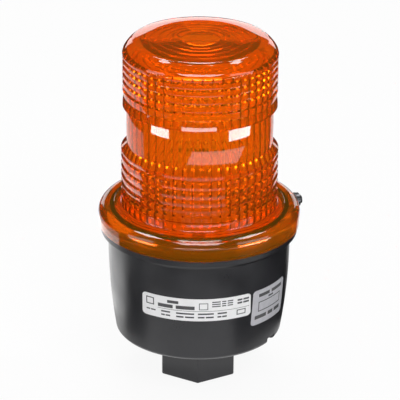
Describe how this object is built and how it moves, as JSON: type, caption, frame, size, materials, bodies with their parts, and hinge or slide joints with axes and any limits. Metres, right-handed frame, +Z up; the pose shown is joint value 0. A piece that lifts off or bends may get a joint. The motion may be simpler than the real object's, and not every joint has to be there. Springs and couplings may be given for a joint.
{
  "type": "warning light",
  "caption": "Amber strobe warning light: ribbed screw-on lens dome with a lock screw, on a tapered black housing with a hexagonal pipe mount.",
  "frame": {"origin": "centre of the pipe thread's mouth, on the end face of the hexagon", "axes": "+Z up the light's axis from the pipe to the dome's crown; the wide front label faces -Y"},
  "size_m": [0.086, 0.0844, 0.1503],
  "materials": {
    "housing_plastic": "fine moulded black plastic, satin",
    "amber_lens": "clear amber polycarbonate, glossy",
    "seal_rubber": "soft black rubber",
    "washer_nylon": "black nylon",
    "dark_steel": "black oxide",
    "white_label": "white film",
    "silver_label": "silver film",
    "board_laminate": "solder mask",
    "brass": "turned brass",
    "deck_plastic": "white moulded plastic",
    "bright_steel": "zinc plated",
    "holder_plastic": "ivory moulded plastic",
    "tube_glass": "clear hard glass",
    "capacitor_sleeve": "shrink sleeve",
    "coil_wrap": "varnished wrap",
    "ferrite": "sintered ferrite",
    "copper_wire": "enamelled copper",
    "sink_aluminium": "extruded",
    "component_black": "moulded epoxy",
    "terminal_plastic": "moulded green plastic"
  },
  "bodies": {
    "base": {"base_housing": "housing_plastic", "front_label": "white_label", "side_label": "silver_label", "circuit_board": "board_laminate", "board_spacers": "brass", "reflector_deck": "deck_plastic", "deck_screws": "bright_steel", "tube_holder": "holder_plastic", "flash_tube": "tube_glass", "tube_leads": "bright_steel", "trigger_wire": "bright_steel", "storage_capacitor": "capacitor_sleeve", "trigger_coil": "coil_wrap", "transformer_core": "ferrite", "transformer_winding": "copper_wire", "heat_sink": "sink_aluminium", "switching_transistor": "component_black", "rectifier_diodes": "component_black", "control_chip": "component_black", "terminal_block": "terminal_plastic", "terminal_screws": "bright_steel", "line_fuse": "component_black", "timing_capacitors": "capacitor_sleeve"},
    "seal": {"dome_gasket": "seal_rubber"},
    "dome": {"dome": "amber_lens"},
    "lock_washer": {"lock_washer": "washer_nylon"},
    "lock_screw": {"lock_screw": "dark_steel"}
  },
  "joints": [
    {"name": "dome_lift", "type": "slide", "parent": "base", "child": "seal", "axis": [0, 0, 1], "range_m": [0, 0.005]},
    {"name": "dome_turn", "type": "hinge", "parent": "seal", "child": "dome", "pos_m": [0, 0, 0.0728], "axis": [0, 0, 1], "range_deg": [0, 450]},
    {"name": "lock_out", "type": "slide", "parent": "dome", "child": "lock_washer", "axis": [0.9397, 0.342, 0], "range_m": [0, 0.002]},
    {"name": "lock_turn", "type": "hinge", "parent": "lock_washer", "child": "lock_screw", "pos_m": [0.0397, 0.01445, 0.0717], "axis": [0.9397, 0.342, 0], "range_deg": [0, 720]}
  ],
  "couplings": [
    {"joint": "dome_lift", "follows": "dome_turn", "m_per_rad": 0.00063662},
    {"joint": "lock_turn", "follows": "lock_out", "rad_per_m": 6283.2}
  ]
}
